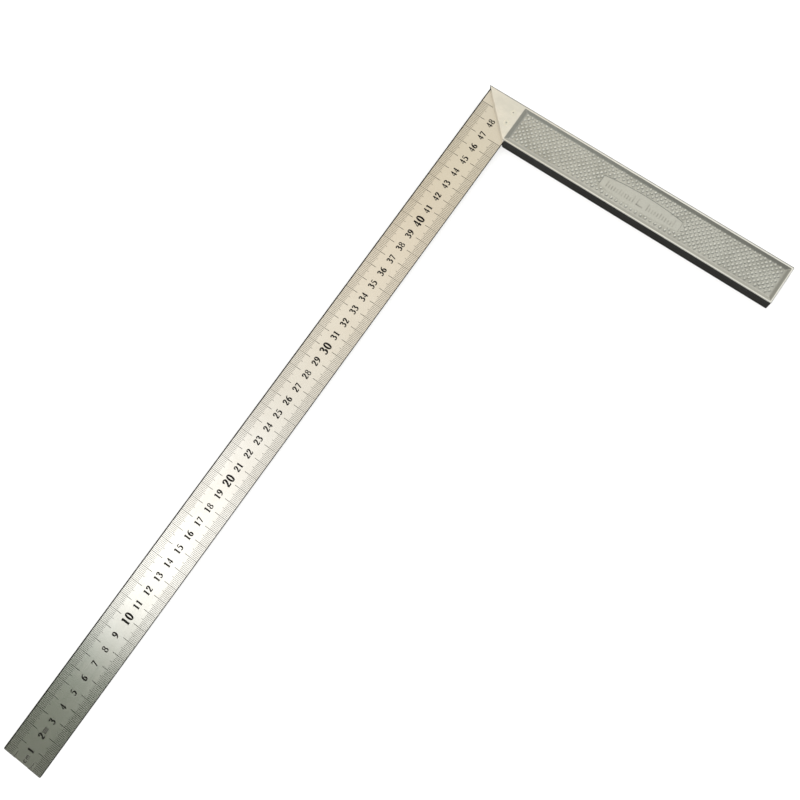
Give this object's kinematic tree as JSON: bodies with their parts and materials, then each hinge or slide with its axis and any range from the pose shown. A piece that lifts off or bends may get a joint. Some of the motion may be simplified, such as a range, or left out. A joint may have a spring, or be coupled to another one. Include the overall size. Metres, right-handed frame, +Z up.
{
  "type": "steel square ruler",
  "caption": "Try square with a long graduated steel blade held at a right angle in a cast alloy stock with a recessed, textured grip panel.",
  "frame": {"origin": "outer corner of the square, at the height of the stock's lower broad face", "axes": "+X from the outer corner along the blade's outer edge to its free end, +Y along the stock's outer face, +Z up out of the upper broad face"},
  "size_m": [0.5, 0.221, 0.011],
  "materials": {
    "blade_steel": "satin stainless strip with a fine long grain, printed scales",
    "stock_alloy": "die-cast alloy, rims and side faces milled bright, recessed panel left as cast",
    "rivet_alloy": "milled flush with the cheek"
  },
  "bodies": {
    "root": {"blade": "blade_steel", "stock": "stock_alloy", "rivet_outer": "rivet_alloy", "rivet_inner": "rivet_alloy"}
  },
  "joints": []
}
